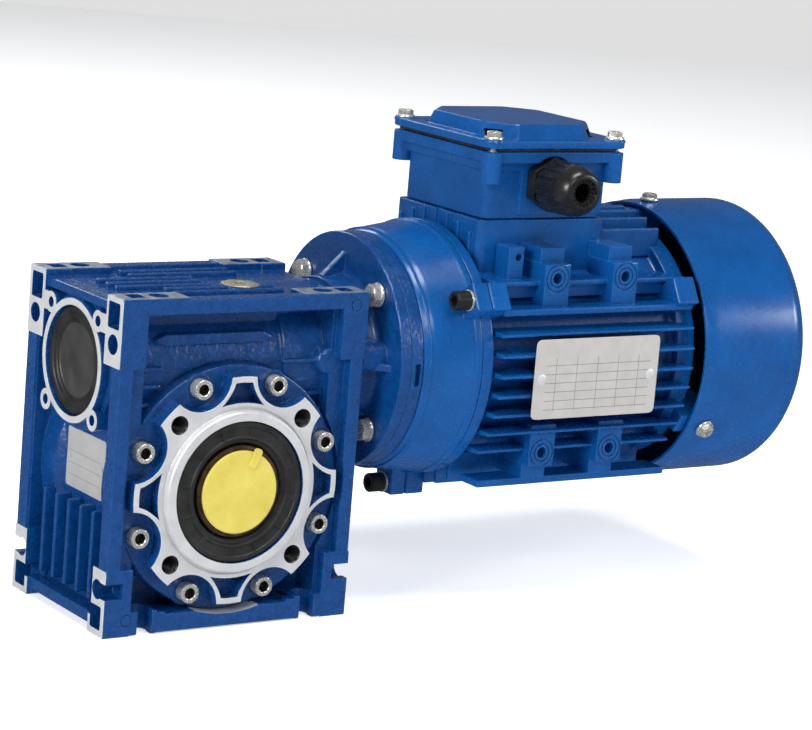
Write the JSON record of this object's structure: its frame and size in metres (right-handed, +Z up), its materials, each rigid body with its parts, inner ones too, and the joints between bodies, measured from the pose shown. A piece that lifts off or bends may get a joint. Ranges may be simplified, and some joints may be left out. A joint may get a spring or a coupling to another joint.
{
  "type": "worm gearmotor",
  "caption": "Cast worm gearbox with a hollow output shaft and a flange-mounted finned electric motor, its terminal box on top.",
  "frame": {"origin": "bottom centre of the bounding box, on the plane of the gearbox feet", "axes": "+X along the worm and motor from the gearbox to the fan cowl, +Y along the hollow output shaft from the bolted cover to the back, +Z up from the feet to the terminal box lid"},
  "size_m": [0.356, 0.13, 0.215],
  "materials": {
    "blue_paint": "blue enamel with a fine orange-peel texture over cast aluminium",
    "motor_paint": "smooth glossy blue enamel over cast aluminium and sheet steel",
    "steel": "bright zinc-plated or ground steel",
    "black_steel": "black oxide",
    "black_rubber": "matte black nitrile rubber",
    "bronze": "hobbed tin bronze",
    "cast_iron": "machined cast iron",
    "yellow_plastic": "moulded yellow plastic",
    "black_plastic": "moulded black nylon",
    "label_metal": "printed metal plate",
    "copper_winding": "varnished copper winding",
    "laminated_steel": "stacked electrical sheet"
  },
  "bodies": {
    "case": {"gearbox_housing": "blue_paint", "output_cover": "blue_paint", "cover_screw_1": "steel", "cover_screw_2": "steel", "cover_screw_3": "steel", "cover_screw_4": "steel", "cover_screw_5": "steel", "cover_screw_6": "steel", "cover_screw_7": "steel", "cover_screw_8": "steel", "output_seal_front": "black_rubber", "output_seal_rear": "black_rubber", "output_bearing_front": "steel", "output_bearing_rear": "steel", "worm_bearing_cap_side": "steel", "worm_bearing_motor_side": "steel", "worm_end_cap": "black_rubber", "worm_seal": "black_rubber", "oil_plug": "steel", "gearbox_nameplate": "label_metal", "input_flange": "blue_paint", "flange_bolt_1": "steel", "flange_bolt_2": "steel", "flange_bolt_3": "steel", "flange_bolt_4": "steel", "drive_end_shield": "motor_paint", "shield_screw_1": "black_steel", "shield_screw_2": "black_steel", "shield_screw_3": "black_steel", "motor_frame": "motor_paint", "stator_core": "laminated_steel", "winding_drive_end": "copper_winding", "winding_fan_end": "copper_winding", "motor_bearing_drive_end": "steel", "motor_bearing_fan_end": "steel", "fan_end_shield": "motor_paint", "fan_cowl": "motor_paint", "cowl_screw_1": "steel", "cowl_screw_2": "steel", "cowl_screw_3": "steel", "terminal_box": "motor_paint", "terminal_box_gasket": "black_rubber", "terminal_box_lid": "motor_paint", "lid_screw_1": "steel", "lid_screw_2": "steel", "lid_screw_3": "steel", "lid_screw_4": "steel", "terminal_block": "black_plastic", "gland_body": "black_plastic", "gland_nut": "black_plastic", "motor_nameplate": "label_metal"},
    "motor_rotor": {"motor_shaft": "steel", "shaft_key": "steel", "rotor_core": "laminated_steel", "fan": "black_plastic", "worm_shaft": "steel"},
    "output": {"output_shaft": "cast_iron", "worm_wheel": "bronze"},
    "front_plug": {"bore_plug_front": "yellow_plastic"},
    "rear_plug": {"bore_plug_rear": "yellow_plastic"}
  },
  "joints": [
    {"name": "motor_spin", "type": "hinge", "parent": "case", "child": "motor_rotor", "pos_m": [0, 0, 0.11], "axis": [1, 0, 0], "continuous": true},
    {"name": "output_spin", "type": "hinge", "parent": "case", "child": "output", "pos_m": [-0.118, 0, 0.06], "axis": [0, 1, 0], "continuous": true},
    {"name": "front_plug_pull", "type": "slide", "parent": "output", "child": "front_plug", "axis": [0, -1, 0], "range_m": [0, 0.03]},
    {"name": "rear_plug_pull", "type": "slide", "parent": "output", "child": "rear_plug", "axis": [0, 1, 0], "range_m": [0, 0.03]}
  ],
  "couplings": [
    {"joint": "output_spin", "follows": "motor_spin", "ratio": -0.033333}
  ]
}
